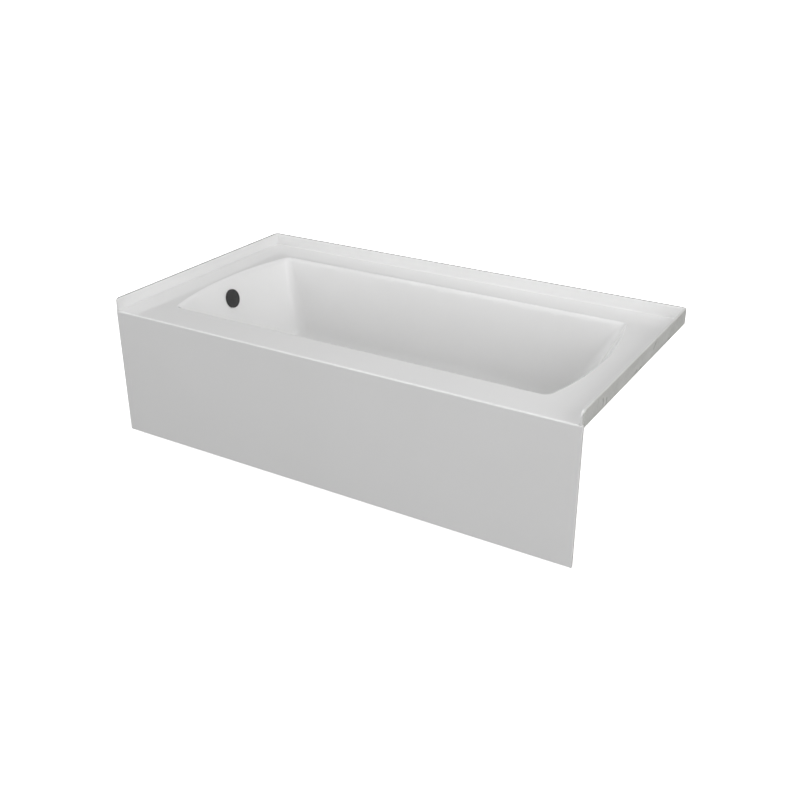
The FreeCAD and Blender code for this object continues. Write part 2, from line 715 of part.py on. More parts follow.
def slip_joint(mouth, out):
    """Slip nut and washer on a hub whose mouth faces along out, around the tube."""
    nut_inner = hub_radius + fit_gap
    nut_outer = nut_inner + slip_nut_wall
    nut_start = mouth - out * slip_nut_grip
    nut_length = slip_nut_grip + slip_washer_thickness + slip_nut_lip
    nut = cylinder(nut_outer, nut_start, out, nut_length)
    nut = nut.cut(cylinder(nut_inner, nut_start - out, out, slip_nut_grip + slip_washer_thickness + 1.0))
    nut = nut.cut(cylinder(tube_radius + tube_clearance, nut_start, out, nut_length + 1.0))
    side = Vector(0, 1, 0)
    for step in range(8):
        rib = box_between(-2.0, 2.0, nut_outer - 0.6, nut_outer + 2.0, 0.0, nut_length)
        rib.rotate(Vector(0, 0, 0), UP, 45.0 * step)
        rib.Placement = Placement(nut_start, Rotation(UP, out)).multiply(rib.Placement)
        nut = nut.fuse(rib)
    washer = ring(hub_radius, tube_radius + fit_gap, mouth, out, slip_washer_thickness)
    return nut, washer


shoe_nut, shoe_washer = slip_joint(shoe_start + LEFT * shoe_mouth, LEFT)
write("shoe_slip_nut", shoe_nut)
write("shoe_washer", shoe_washer)

# ---------------------------------------------------------------- overflow elbow
gasket_back = -wall_thickness - overflow_gasket_thickness
flange_back = gasket_back - overflow_flange_thickness
neck_back = flange_back - overflow_neck
neck_wall = hub_radius - hub_wall + hub_wall * 0.6
bend_angle = 90.0 - drain_wall_slope
bend_start = overflow_origin + inward * neck_back
down_wall = Vector(math.sin(math.radians(drain_wall_slope)), 0, -math.cos(math.radians(drain_wall_slope)))
bend_centre = bend_start + down_wall * overflow_bend_radius
tube_x = bend_centre.x - overflow_bend_radius
elbow_bottom = bend_centre.z - hub_depth - hub_step


def bent(radius):
    disc = Part.Face(Part.Wire(Part.makeCircle(radius, bend_start, inward)))
    return disc.revolve(bend_centre, Vector(0, -1, 0), bend_angle)


spigot_inner = overflow_spigot_radius - overflow_spigot_wall
spigot_length = -overflow_spigot_setback - flange_back
elbow = at_overflow(cylinder(overflow_spigot_radius, Vector(0, 0, flange_back), UP, spigot_length))
elbow = elbow.fuse(at_overflow(cylinder(overflow_flange_radius, Vector(0, 0, flange_back), UP,
                                        overflow_flange_thickness)))
elbow = elbow.fuse(at_overflow(Part.makeCone(neck_wall, overflow_spigot_radius, overflow_neck,
                                             Vector(0, 0, neck_back))))
elbow = elbow.fuse(bent(neck_wall))
tube_axis = Vector(tube_x, 0, 0)
elbow = elbow.fuse(cylinder(hub_radius, tube_axis + UP * elbow_bottom, UP, hub_depth + hub_step))
elbow = elbow.cut(at_overflow(cylinder(spigot_inner, Vector(0, 0, flange_back), UP, spigot_length + 1.0)))
elbow = elbow.cut(at_overflow(Part.makeCone(waste_bore, spigot_inner, overflow_neck, Vector(0, 0, neck_back))))
elbow = elbow.cut(bent(waste_bore))
elbow = elbow.cut(cylinder(waste_bore, tube_axis + UP * (elbow_bottom - 1.0), UP, hub_depth + hub_step + 1.01))
elbow = elbow.cut(cylinder(tube_radius + tube_clearance, tube_axis + UP * (elbow_bottom - 1.0), UP,
                           hub_depth + 1.0))
cover_screws = []
screw_head_height = cover_screw_head_radius - cover_screw_radius
screw_tip = cover_depth - cover_screw_length
for side in (-cover_screw_spacing / 2.0, cover_screw_spacing / 2.0):
    boss = at_overflow(cylinder(cover_boss_radius, Vector(0, side, flange_back), UP, spigot_length))
    bore = at_overflow(cylinder(cover_screw_radius + screw_clearance, Vector(0, side, flange_back), UP,
                                spigot_length + 1.0))
    elbow = elbow.fuse(boss).cut(bore)
    shank = cylinder(cover_screw_radius, Vector(0, side, screw_tip), UP, cover_screw_length - screw_head_height)
    head = Part.makeCone(cover_screw_radius, cover_screw_head_radius, screw_head_height,
                         Vector(0, side, cover_depth - screw_head_height))
    cover_screws.append(at_overflow(shank.fuse(head)))
write("overflow_elbow", elbow)
write("overflow_screws", Part.makeCompound(cover_screws))

gasket = at_overflow(ring(overflow_flange_radius - 1.0, overflow_hole_radius, Vector(0, 0, gasket_back),
                          UP, overflow_gasket_thickness + 3.0))
gasket = gasket.cut(laminate)
write("overflow_gasket", gasket)

cover = cylinder(cover_radius, Vector(0, 0, -1.5), UP, cover_depth + 1.5)
cover_edges = [e for e in cover.Edges if e.BoundBox.ZMin > cover_depth - 0.1]
cover = cover.makeFillet(cover_edge_radius, cover_edges)
cover = cover.cut(cylinder(cover_radius - cover_wall, Vector(0, 0, -3.0), UP, cover_depth - cover_wall + 3.0))
cover = cover.cut(box_between(cover_radius - 2.0 * cover_wall, cover_radius + 1.0, -cover_slot_width / 2.0,
                              cover_slot_width / 2.0, -4.0, cover_slot_height))
for side in (-cover_screw_spacing / 2.0, cover_screw_spacing / 2.0):
    cover = cover.cut(cylinder(cover_screw_radius + screw_clearance, Vector(0, side, 0), UP, cover_depth))
    cover = cover.cut(Part.makeCone(cover_screw_radius + fit_gap, cover_screw_head_radius + fit_gap,
                                    screw_head_height, Vector(0, side, cover_depth - screw_head_height)))
cover = at_overflow(cover).cut(basin_shell)
write("overflow_cover", cover)

# ---------------------------------------------------------------- tee and tubes
tee_start = Vector(tube_x, 0, waste_level)
tee_side_mouth = main_radius + hub_depth
tee_top_stop = waste_level + main_radius
tee_top_mouth = tee_top_stop + hub_depth
outlet_stop = tee_outlet_gap + hub_depth
tee = cylinder(main_radius, tube_axis + UP * tee_outlet_gap, UP, tee_top_stop - tee_outlet_gap)
tee = tee.fuse(cylinder(hub_radius, tube_axis + UP * waste_level, UP, tee_top_mouth - waste_level))
tee = tee.fuse(cylinder(hub_radius, tee_start, RIGHT, tee_side_mouth))
tee = tee.cut(cylinder(main_bore, tube_axis, UP, tee_top_mouth + 1.0))
tee = tee.cut(cylinder(waste_bore, tee_start, RIGHT, tee_side_mouth + 1.0))
tee = tee.cut(cylinder(tube_radius + tube_clearance, tee_start + RIGHT * main_radius, RIGHT, hub_depth + 1.0))
tee = tee.cut(cylinder(tube_radius + tube_clearance, tube_axis + UP * tee_top_stop, UP, hub_depth + 1.0))
tee = tee.cut(cylinder(tube_radius + tube_clearance, tube_axis, UP, outlet_stop))
write("waste_tee", tee)

side_nut, side_washer = slip_joint(tee_start + RIGHT * tee_side_mouth, RIGHT)
write("tee_side_slip_nut", side_nut)
write("tee_side_washer", side_washer)
top_nut, top_washer = slip_joint(tube_axis + UP * tee_top_mouth, UP)
write("tee_top_slip_nut", top_nut)
write("tee_top_washer", top_washer)

tube_from = drain_x - main_radius
tube_to = tube_x + main_radius
waste_tube = ring(tube_radius, waste_bore, Vector(tube_from, 0, waste_level), LEFT, tube_from - tube_to)
write("waste_tube", waste_tube)
overflow_tube = ring(tube_radius, waste_bore, tube_axis + UP * tee_top_stop, UP,
                     elbow_bottom + hub_depth - tee_top_stop)
write("overflow_tube", overflow_tube)
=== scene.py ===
import math

import bmesh
import bpy
from mathutils import Matrix, Vector, noise


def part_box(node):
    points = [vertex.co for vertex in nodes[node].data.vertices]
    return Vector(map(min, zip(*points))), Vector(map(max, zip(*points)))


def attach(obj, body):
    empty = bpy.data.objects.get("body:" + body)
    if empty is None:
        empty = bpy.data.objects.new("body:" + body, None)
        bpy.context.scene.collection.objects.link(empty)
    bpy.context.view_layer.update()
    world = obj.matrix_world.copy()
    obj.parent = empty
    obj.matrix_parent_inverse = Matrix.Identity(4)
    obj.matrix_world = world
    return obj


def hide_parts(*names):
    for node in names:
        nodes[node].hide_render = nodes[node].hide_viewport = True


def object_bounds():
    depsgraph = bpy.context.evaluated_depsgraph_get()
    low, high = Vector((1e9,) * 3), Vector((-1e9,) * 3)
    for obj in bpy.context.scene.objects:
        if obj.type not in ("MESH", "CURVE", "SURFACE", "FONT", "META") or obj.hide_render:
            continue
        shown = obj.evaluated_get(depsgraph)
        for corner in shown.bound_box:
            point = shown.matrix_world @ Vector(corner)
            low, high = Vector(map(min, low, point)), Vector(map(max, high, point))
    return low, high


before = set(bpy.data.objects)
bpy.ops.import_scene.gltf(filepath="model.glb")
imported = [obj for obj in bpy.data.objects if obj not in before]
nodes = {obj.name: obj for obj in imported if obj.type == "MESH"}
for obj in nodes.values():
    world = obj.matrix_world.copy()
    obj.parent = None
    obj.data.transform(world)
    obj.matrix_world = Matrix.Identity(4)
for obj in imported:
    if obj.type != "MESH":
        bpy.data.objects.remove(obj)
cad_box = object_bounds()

scene = bpy.context.scene
TURN = 2.0 * math.pi
MM = 0.001


# ---------------------------------------------------------------- materials
class Surface:
    """A Principled material under construction, with short helpers for its procedural nodes."""

    def __init__(self, name, roughness=0.5, metallic=0.0, ior=1.5):
        self.material = bpy.data.materials.new(name)
        self.material.use_nodes = True
        self.tree = self.material.node_tree
        self.shader = self.tree.nodes["Principled BSDF"]
        self.shader.inputs["Roughness"].default_value = roughness
        self.shader.inputs["Metallic"].default_value = metallic
        self.shader.inputs["IOR"].default_value = ior
        self.place = self.add("ShaderNodeTexCoord").outputs["Object"]

    def add(self, kind, **settings):
        node = self.tree.nodes.new(kind)
        for key, value in settings.items():
            setattr(node, key, value)
        return node

    def feed(self, socket, value):
        if isinstance(value, bpy.types.NodeSocket):
            self.tree.links.new(value, socket)
        else:
            socket.default_value = value

    def mapped(self, scale, shift=(0.0, 0.0, 0.0)):
        node = self.add("ShaderNodeMapping")
        self.feed(node.inputs["Vector"], self.place)
        node.inputs["Scale"].default_value = scale
        node.inputs["Location"].default_value = shift
        return node.outputs["Vector"]

    def noise(self, scale, detail=3.0, vector=None, distortion=0.0, roughness=0.5):
        node = self.add("ShaderNodeTexNoise")
        self.feed(node.inputs["Vector"], vector or self.place)
        node.inputs["Scale"].default_value = scale
        node.inputs["Detail"].default_value = detail
        node.inputs["Distortion"].default_value = distortion
        node.inputs["Roughness"].default_value = roughness
        return node.outputs["Fac"]

    def spread(self, value, low, high, to_low=0.0, to_high=1.0):
        node = self.add("ShaderNodeMapRange")
        self.feed(node.inputs["Value"], value)
        for key, number in (("From Min", low), ("From Max", high), ("To Min", to_low), ("To Max", to_high)):
            node.inputs[key].default_value = number
        return node.outputs["Result"]

    def maths(self, operation, first, second=0.0):
        node = self.add("ShaderNodeMath", operation=operation)
        self.feed(node.inputs[0], first)
        self.feed(node.inputs[1], second)
        return node.outputs["Value"]

    def blend(self, factor, first, second, kind="MIX"):
        node = self.add("ShaderNodeMix", data_type="RGBA", blend_type=kind)
        self.feed(node.inputs["Factor"], factor)
        self.feed(node.inputs["A"], first if not isinstance(first, tuple) else (*first, 1.0))
        self.feed(node.inputs["B"], second if not isinstance(second, tuple) else (*second, 1.0))
        return node.outputs["Result"]

    def color(self, value):
        self.feed(self.shader.inputs["Base Color"], value)

    def rough(self, value):
        self.feed(self.shader.inputs["Roughness"], value)

    def bump(self, height, distance, strength=1.0, under=None):
        node = self.add("ShaderNodeBump")
        self.feed(node.inputs["Height"], height)
        node.inputs["Distance"].default_value = distance
        node.inputs["Strength"].default_value = strength
        if under is not None:
            self.feed(node.inputs["Normal"], under)
        self.feed(self.shader.inputs["Normal"], node.outputs["Normal"])
        return node.outputs["Normal"]


def acrylic():
    s = Surface("gloss_acrylic", ior=1.49)
    cloud = s.noise(3.1, 2.0)
    s.color(s.blend(s.spread(cloud, 0.3, 0.7), (0.862, 0.862, 0.859), (0.880, 0.880, 0.878)))
    s.rough(s.spread(s.noise(14.0, 4.0), 0.3, 0.7, 0.075, 0.125))
    wave = s.bump(s.noise(6.0, 1.0), 0.0006, 0.12)
    s.bump(s.noise(150.0, 2.0), 0.0001, 0.3, wave)
    return s.material


STRAND_LAYERS = 7
STRAND_SIZE = (42.0 * MM, 3.2 * MM, 1.0)     # length and breadth of one strand's cell, in its own flat plane
STRAND_TURN = 0.93                           # from one layer to the next, in radians
STRAND_WIDTH = 0.035                         # share of the cell's noise that shows as a strand
# Painted shade: a near-black line is painted along the flange's top edge, but not on the right flange
flange_top, flange_right = cad_box[1][2], cad_box[1][0]
DARK_EDGE_RISE = (flange_top - 3.5 * MM, flange_top - 1.5 * MM)
DARK_EDGE_END = (flange_right - 17.0 * MM, flange_right - 4.5 * MM)


def laminate():
    """Chopped glass strands lying every way in cloudy resin, over a lumpy rolled surface."""
    s = Surface("glass_laminate", ior=1.53)
    facing = s.add("ShaderNodeSeparateXYZ")
    s.feed(facing.inputs[0], s.add("ShaderNodeNewGeometry").outputs["Normal"])
    spot = s.add("ShaderNodeSeparateXYZ")
    s.feed(spot.inputs[0], s.place)

    # flat coordinates in the plane that the face lies nearest to
    def laid(across, along):
        joined = s.add("ShaderNodeCombineXYZ")
        s.feed(joined.inputs["X"], spot.outputs[across])
        s.feed(joined.inputs["Y"], spot.outputs[along])
        return joined.outputs["Vector"]

    steep = [s.maths("ABSOLUTE", facing.outputs[axis]) for axis in "XYZ"]
    mat_place = s.blend(s.maths("GREATER_THAN", steep[0], steep[1]), laid("X", "Z"), laid("Y", "Z"))
    mat_place = s.blend(s.maths("GREATER_THAN", steep[2], 0.707), mat_place, laid("X", "Y"))
    strands = None
    for index in range(STRAND_LAYERS):
        lie = s.add("ShaderNodeMapping", vector_type="TEXTURE")
        s.feed(lie.inputs["Vector"], mat_place)
        lie.inputs["Location"].default_value = (0.31 * index, 0.17 * index, 0.0)
        lie.inputs["Rotation"].default_value = (0.0, 0.0, STRAND_TURN * index + 0.25)
        lie.inputs["Scale"].default_value = STRAND_SIZE
        streak = s.noise(1.0, 0.0, lie.outputs["Vector"])
        off_centre = s.maths("ABSOLUTE", s.maths("SUBTRACT", streak, 0.5))
        line = s.spread(off_centre, 0.0, STRAND_WIDTH, 1.0, 0.0)
        strands = line if strands is None else s.maths("MAXIMUM", strands, line)
    resin = s.noise(9.0, 5.0, roughness=0.62)
    ground = s.blend(s.spread(resin, 0.34, 0.68), (0.53, 0.535, 0.505), (0.68, 0.68, 0.655))
    mat = s.blend(s.maths("MULTIPLY", strands, 0.62), ground, (0.84, 0.84, 0.82))
    mat = s.blend(s.spread(s.noise(3.3, 3.0), 0.52, 0.72, 0.0, 0.3), mat, (0.60, 0.57, 0.48))
    facing_up = s.spread(facing.outputs["Z"], 0.8, 0.95)
    # painted shade: the up-facing strip at the flange's top edge is coloured near black, fading out before
    # the right flange
    painted_edge_shade = s.maths("MULTIPLY", facing_up, s.spread(spot.outputs["Z"], *DARK_EDGE_RISE))
    painted_edge_shade = s.maths("MULTIPLY", painted_edge_shade, s.spread(spot.outputs["X"], *DARK_EDGE_END, 1.0, 0.0))
    s.color(s.blend(painted_edge_shade, mat, (0.10, 0.10, 0.095)))
    s.rough(s.spread(s.noise(23.0, 4.0), 0.3, 0.7, 0.22, 0.5))
    lumps = s.bump(s.noise(30.0, 2.0, roughness=0.5), 0.0012, 0.4)
    s.bump(strands, 0.00015, 0.5, lumps)
    return s.material


def softwood(axis):
    """Sawn pine whose grain runs along axis 0, 1 or 2."""
    s = Surface("pine_" + "xyz"[axis], roughness=0.68)

    def along(length, across):
        return tuple(length if i == axis else across for i in range(3))

    shift = tuple(0.0 if i == axis else 0.041 + 0.013 * i for i in range(3))
    rings = s.add("ShaderNodeTexWave", wave_type="RINGS", rings_direction="XYZ"[axis])
    s.feed(rings.inputs["Vector"], s.mapped(along(0.14, 1.0), shift))
    for key, number in (("Scale", 62.0), ("Distortion", 5.5), ("Detail", 3.0), ("Detail Scale", 0.35)):
        rings.inputs[key].default_value = number
    ring = rings.outputs["Fac"]
    fibre = s.noise(1.0, 3.0, s.mapped(along(9.0, 850.0)))
    tone = s.noise(1.0, 2.0, s.mapped(along(1.3, 16.0)))
    wood = s.blend(s.spread(ring, 0.25, 0.95), (0.70, 0.515, 0.315), (0.53, 0.335, 0.165))
    wood = s.blend(s.spread(tone, 0.3, 0.75, 0.0, 0.5), wood, (0.74, 0.60, 0.42))
    wood = s.blend(s.spread(fibre, 0.35, 0.65, 0.0, 0.22), wood, (0.40, 0.25, 0.12))
    knots = s.add("ShaderNodeTexVoronoi")
    s.feed(knots.inputs["Vector"], s.mapped(along(2.1, 8.0), (0.37, 0.61, 0.29)))
    knot = s.spread(knots.outputs["Distance"], 0.035, 0.10, 1.0, 0.0)
    s.color(s.blend(knot, wood, (0.20, 0.105, 0.045)))
    s.rough(s.spread(fibre, 0.3, 0.7, 0.58, 0.78))
    saw = s.noise(1.0, 1.0, s.mapped(along(240.0, 5.0)))
    kerf = s.bump(saw, 0.0004, 0.45)
    s.bump(fibre, 0.0004, 0.7, kerf)
    return s.material


def plywood():
    s = Surface("birch_plywood", roughness=0.55)
    figure = s.noise(1.0, 4.0, s.mapped((5.0, 70.0, 70.0)), distortion=0.8)
    fibre = s.noise(1.0, 2.0, s.mapped((14.0, 900.0, 900.0)))
    face = s.blend(s.spread(figure, 0.3, 0.7), (0.66, 0.49, 0.31), (0.54, 0.37, 0.21))
    face = s.blend(s.spread(fibre, 0.35, 0.65, 0.0, 0.25), face, (0.38, 0.24, 0.12))
    plies = s.add("ShaderNodeTexWave", wave_type="BANDS", bands_direction="Z")
    s.feed(plies.inputs["Vector"], s.place)
    plies.inputs["Scale"].default_value = 92.0
    plies.inputs["Distortion"].default_value = 0.15
    edge = s.blend(s.spread(plies.outputs["Fac"], 0.35, 0.6), (0.60, 0.43, 0.25), (0.27, 0.16, 0.08))
    parts = s.add("ShaderNodeSeparateXYZ")
    s.feed(parts.inputs[0], s.add("ShaderNodeNewGeometry").outputs["Normal"])
    level = s.spread(s.maths("ABSOLUTE", parts.outputs["Z"]), 0.6, 0.8)
    s.color(s.blend(level, edge, face))
    s.rough(s.spread(fibre, 0.3, 0.7, 0.48, 0.66))
    s.bump(fibre, 0.0003, 0.6)
    return s.material


def galvanised():
    s = Surface("galvanised_steel", metallic=1.0)
    cells = s.add("ShaderNodeTexVoronoi")
    s.feed(cells.inputs["Vector"], s.place)
    cells.inputs["Scale"].default_value = 85.0
    tint = s.add("ShaderNodeSeparateColor")
    s.feed(tint.inputs[0], cells.outputs["Color"])
    spangle = tint.outputs[0]
    dull = s.noise(9.0, 4.0)
    steel = s.blend(spangle, (0.47, 0.485, 0.50), (0.66, 0.675, 0.69))
    s.color(s.blend(s.spread(dull, 0.45, 0.75, 0.0, 0.45), steel, (0.60, 0.60, 0.595)))
    s.rough(s.maths("ADD", s.spread(spangle, 0.0, 1.0, 0.26, 0.44), s.spread(dull, 0.3, 0.7, 0.0, 0.14)))
    s.bump(s.noise(240.0, 2.0), 0.0002, 0.25)
    return s.material


def zinc_plate():
    s = Surface("zinc_plated_steel", metallic=1.0)
    film = s.noise(55.0, 3.0)
    s.color(s.blend(s.spread(film, 0.3, 0.7), (0.60, 0.615, 0.64), (0.72, 0.72, 0.70)))
    s.rough(s.spread(s.noise(210.0, 3.0), 0.3, 0.7, 0.2, 0.36))
    s.bump(s.noise(900.0, 1.0), 0.00006, 0.4)
    return s.material


def moulded(name, light, dark, low, high, grain, depth, ior=1.5):
    """Plastic or rubber with a fine moulded grain and slightly uneven gloss."""
    s = Surface(name, ior=ior)
    s.color(s.blend(s.spread(s.noise(26.0, 3.0), 0.3, 0.7), light, dark))
    s.rough(s.spread(s.noise(70.0, 3.0), 0.3, 0.7, low, high))
    s.bump(s.noise(grain, 2.0), depth, 0.5)
    return s.material


def turned(name, light, dark, low, high):
    """Turned metal with fine tool rings square to Z."""
    s = Surface(name, metallic=1.0)
    s.color(s.blend(s.spread(s.noise(90.0, 3.0), 0.3, 0.7), light, dark))
    rings = s.noise(1.0, 2.0, s.mapped((30.0, 30.0, 2600.0)))
    s.rough(s.spread(rings, 0.3, 0.7, low, high))
    s.bump(rings, 0.00008, 0.5)
    return s.material


white = acrylic()
fibreglass = laminate()
pine = [softwood(axis) for axis in range(3)]
ply = plywood()
galvanised_steel = galvanised()
zinc = zinc_plate()
trim = moulded("matte_black_trim", (0.027, 0.027, 0.0275), (0.034, 0.034, 0.0345),
               0.46, 0.60, 2600.0, 0.00007)
foot_plastic = moulded("black_foot_plastic", (0.035, 0.035, 0.037), (0.052, 0.052, 0.055),
                       0.42, 0.6, 1500.0, 0.0001)
rubber = moulded("black_rubber", (0.021, 0.021, 0.021), (0.034, 0.033, 0.032), 0.62, 0.8, 900.0, 0.00015)
pipe = moulded("white_pipe_plastic", (0.80, 0.80, 0.775), (0.84, 0.84, 0.82), 0.24, 0.36, 140.0, 0.0001)
nut_plastic = moulded("white_nut_plastic", (0.74, 0.74, 0.71), (0.80, 0.80, 0.775),
                      0.36, 0.5, 1100.0, 0.0001)
brass = turned("turned_brass", (0.78, 0.57, 0.28), (0.68, 0.47, 0.21), 0.2, 0.38)
spring_wire = turned("spring_wire", (0.56, 0.57, 0.58), (0.66, 0.66, 0.66), 0.18, 0.3)

finish = {
    "basin_shell": white, "apron_panel": white, "laminate_backing": fibreglass, "apron_laminate": fibreglass,
    "base_board": ply, "cross_rail_left": galvanised_steel, "cross_rail_right": galvanised_steel,
    "drain_body": trim, "overflow_cover": trim, "stopper_cartridge": brass, "stopper_spring": spring_wire,
    "stopper_seal": rubber, "drain_gasket": rubber, "overflow_gasket": rubber, "shoe_washer": rubber,
    "tee_side_washer": rubber, "tee_top_washer": rubber, "drain_shoe": pipe, "waste_tube": pipe,
    "waste_tee": pipe, "overflow_tube": pipe, "overflow_elbow": pipe,
}
for name, material in finish.items():
    for slot in nodes[name].material_slots:
        slot.material = material


# ---------------------------------------------------------------- mesh pieces
def piece(name, bm, material, body, *replaced, sharp=35.0):
    mesh = bpy.data.meshes.new(name)
    bmesh.ops.recalc_face_normals(bm, faces=bm.faces)
    bm.to_mesh(mesh)
    bm.free()
    mesh.shade_smooth()
    mesh.set_sharp_from_angle(angle=math.radians(sharp))
    made = bpy.data.objects.new(name, mesh)
    scene.collection.objects.link(made)
    mesh.materials.append(material)
    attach(made, body)
    if replaced:
        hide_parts(*replaced)
    return made


def rows(bm, rings, closed_ends=True):
    """Skins a list of point rings, all of one length, each closed on itself."""
    made = [[bm.verts.new(point) for point in ring] for ring in rings]
    count = len(made[0])
    for lower, upper in zip(made, made[1:]):
        for i in range(count):
            j = (i + 1) % count
            bm.faces.new((lower[i], lower[j], upper[j], upper[i]))
    if closed_ends:
        bm.faces.new(made[0][::-1])
        bm.faces.new(made[-1])
    return made


def join_last_to_first(bm, made):
    count = len(made[0])
    for i in range(count):
        j = (i + 1) % count
        bm.faces.new((made[-1][i], made[-1][j], made[0][j], made[0][i]))


def lathe(bm, profile, place, steps, shape=None, closed_loop=False):
    """Revolves (radius, height) points; shape may change a radius by angle, radius and height."""
    rings = []
    for radius, height in profile:
        ring = []
        for i in range(steps):
            angle = TURN * i / steps
            r = shape(angle, radius, height) if shape else radius
            ring.append(place @ Vector((r * math.cos(angle), r * math.sin(angle), height)))
        rings.append(ring)
    made = rows(bm, rings, not closed_loop)
    if closed_loop:
        join_last_to_first(bm, made)


def middle(name):
    low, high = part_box(name)
    return (Vector(low) + Vector(high)) / 2.0


EASED_EDGE = 1.6 * MM
SAW_WOBBLE = 0.45 * MM
TIMBER_STEP = 20.0 * MM


def timber(name):
    """Timber with eased edges and a slightly uneven sawn face, kept inside its solid."""
    low, high = (Vector(v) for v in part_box(name))
    size = high - low
    axis = max(range(3), key=lambda i: size[i])
    bm = bmesh.new()
    bmesh.ops.create_cube(bm, size=1.0)
    for v in bm.verts:
        v.co = Vector(low[i] + (v.co[i] + 0.5) * size[i] for i in range(3))
    bmesh.ops.bevel(bm, geom=list(bm.edges), offset=EASED_EDGE, segments=2, affect="EDGES", profile=0.5)
    long_edges = [e for e in bm.edges if abs(e.verts[0].co[axis] - e.verts[1].co[axis]) > 0.6 * size[axis]]
    bmesh.ops.subdivide_edges(bm, edges=long_edges, cuts=int(size[axis] / TIMBER_STEP), use_grid_fill=True)
    centre = (low + high) / 2.0
    for v in bm.verts:
        wobble = 0.5 + 0.5 * noise.noise(v.co * 21.0 + Vector((7.0 * axis, 0.0, 3.0)))
        for i in range(3):
            if i != axis:
                v.co[i] -= math.copysign(SAW_WOBBLE * wobble, v.co[i] - centre[i])
    piece(name + "_sawn", bm, pine[axis], "tub", name)


for name in ("apron_top_rail", "apron_bottom_rail", "apron_post_left", "apron_post_middle",
             "apron_post_right", "rim_batten_back", "rim_batten_left", "rim_batten_right"):
    timber(name)


def hex_radius(angle, flats):
    return flats / 2.0 / math.cos((angle % (TURN / 6.0)) - TURN / 12.0)


def hex_body(bm, place, flats, height, inner):
    """A hexagon collar with chamfered corners at both faces, around a bore."""
    steps = 72
    face = flats / 2.0 * 0.965
    rings = []
    for level, side in (("in", 0), ("face", 0), ("edge", 0), ("edge", 1), ("face", 1), ("in", 1)):
        ring = []
        for i in range(steps):
            angle = TURN * i / steps
            corner = hex_radius(angle, flats)
            if level == "in":
                r, rise = inner, 0.0
            elif level == "face":
                r, rise = face, 0.0
            else:
                r, rise = corner, (corner - face) * 0.55
            z = rise if side == 0 else height - rise
            ring.append(place @ Vector((r * math.cos(angle), r * math.sin(angle), z)))
        rings.append(ring)
    join_last_to_first(bm, rows(bm, rings, False))


def thread(bm, place, length, radius, pitch, depth):
    """A screw thread as one spiral surface that runs out towards both ends."""
    steps = 32
    count = int(length / pitch * 6.0)
    rings = []
    for k in range(count + 1):
        z = length * k / count
        fade = min(1.0, z / (1.5 * pitch), (length - z) / (1.5 * pitch))
        end = depth * (1.0 - fade)
        ring = []
        for i in range(steps):
            share = (z / pitch - i / steps) % 1.0
            groove = depth * fade * (1.0 - abs(2.0 * share - 1.0))
            r = radius - groove - end
            angle = TURN * i / steps
            ring.append(place @ Vector((r * math.cos(angle), r * math.sin(angle), z)))
        rings.append(ring)
    rows(bm, rings)


# Levelling feet: threaded stud with its hexagon, ribbed moulded pad
CORNERS = ("front_left", "front_right", "back_left", "back_right")
STUD_RADIUS, STUD_PITCH, THREAD_DEPTH = 5.0 * MM, 1.5 * MM, 0.75 * MM
HEX_FLATS, HEX_HEIGHT = 17.0 * MM, 7.0 * MM
NUT_BORE = 5.1 * MM
PAD_RIBS, RIB_DEPTH = 24, 0.55 * MM
PAD_PROFILE = [(5.06, 8.0), (5.06, 16.0), (8.0, 16.0), (12.2, 15.7), (13.2, 14.9), (14.4, 13.6), (19.0, 9.7),
               (24.5, 6.2), (26.3, 5.2), (26.9, 4.4), (26.9, 1.0), (26.5, 0.2), (25.9, 0.0), (22.0, 0.0),
               (21.4, 0.7), (17.6, 0.7), (17.0, 0.0), (13.0, 0.0), (12.4, 0.7), (8.6, 0.7), (8.0, 0.0),
               (4.0, 0.0), (0.6, 0.0)]    # radius and height in millimetres


def ribbed(angle, radius, height):
    if 13.5 * MM < radius < 25.0 * MM and height > 5.0 * MM:
        return radius - RIB_DEPTH * (0.5 - 0.5 * math.cos(angle * PAD_RIBS))
    return radius


for corner in CORNERS:
    low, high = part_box("foot_stud_" + corner)
    x, y = middle("foot_stud_" + corner).xy
    pad_low, pad_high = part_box("foot_pad_" + corner)
    bm = bmesh.new()
    thread(bm, Matrix.Translation((x, y, low[2])), high[2] - low[2], STUD_RADIUS, STUD_PITCH, THREAD_DEPTH)
    hex_body(bm, Matrix.Translation((x, y, pad_high[2])), HEX_FLATS, HEX_HEIGHT, STUD_RADIUS - 0.1 * MM)
    piece("stud_thread_" + corner, bm, zinc, "foot_" + corner, "foot_stud_" + corner, sharp=40.0)

    bm = bmesh.new()
    lathe(bm, [(r * MM, z * MM) for r, z in PAD_PROFILE], Matrix.Translation((x, y, pad_low[2])), 144, ribbed)
    piece("pad_moulding_" + corner, bm, foot_plastic, "foot_" + corner, "foot_pad_" + corner, sharp=30.0)

# Lock nuts under the tops of the cross rails
low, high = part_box("foot_lock_nuts")
bm = bmesh.new()
for corner in CORNERS:
    x, y = middle("foot_stud_" + corner).xy
    hex_body(bm, Matrix.Translation((x, y, low[2])), HEX_FLATS, high[2] - low[2], NUT_BORE)
piece("lock_nuts", bm, zinc, "tub", "foot_lock_nuts", sharp=30.0)


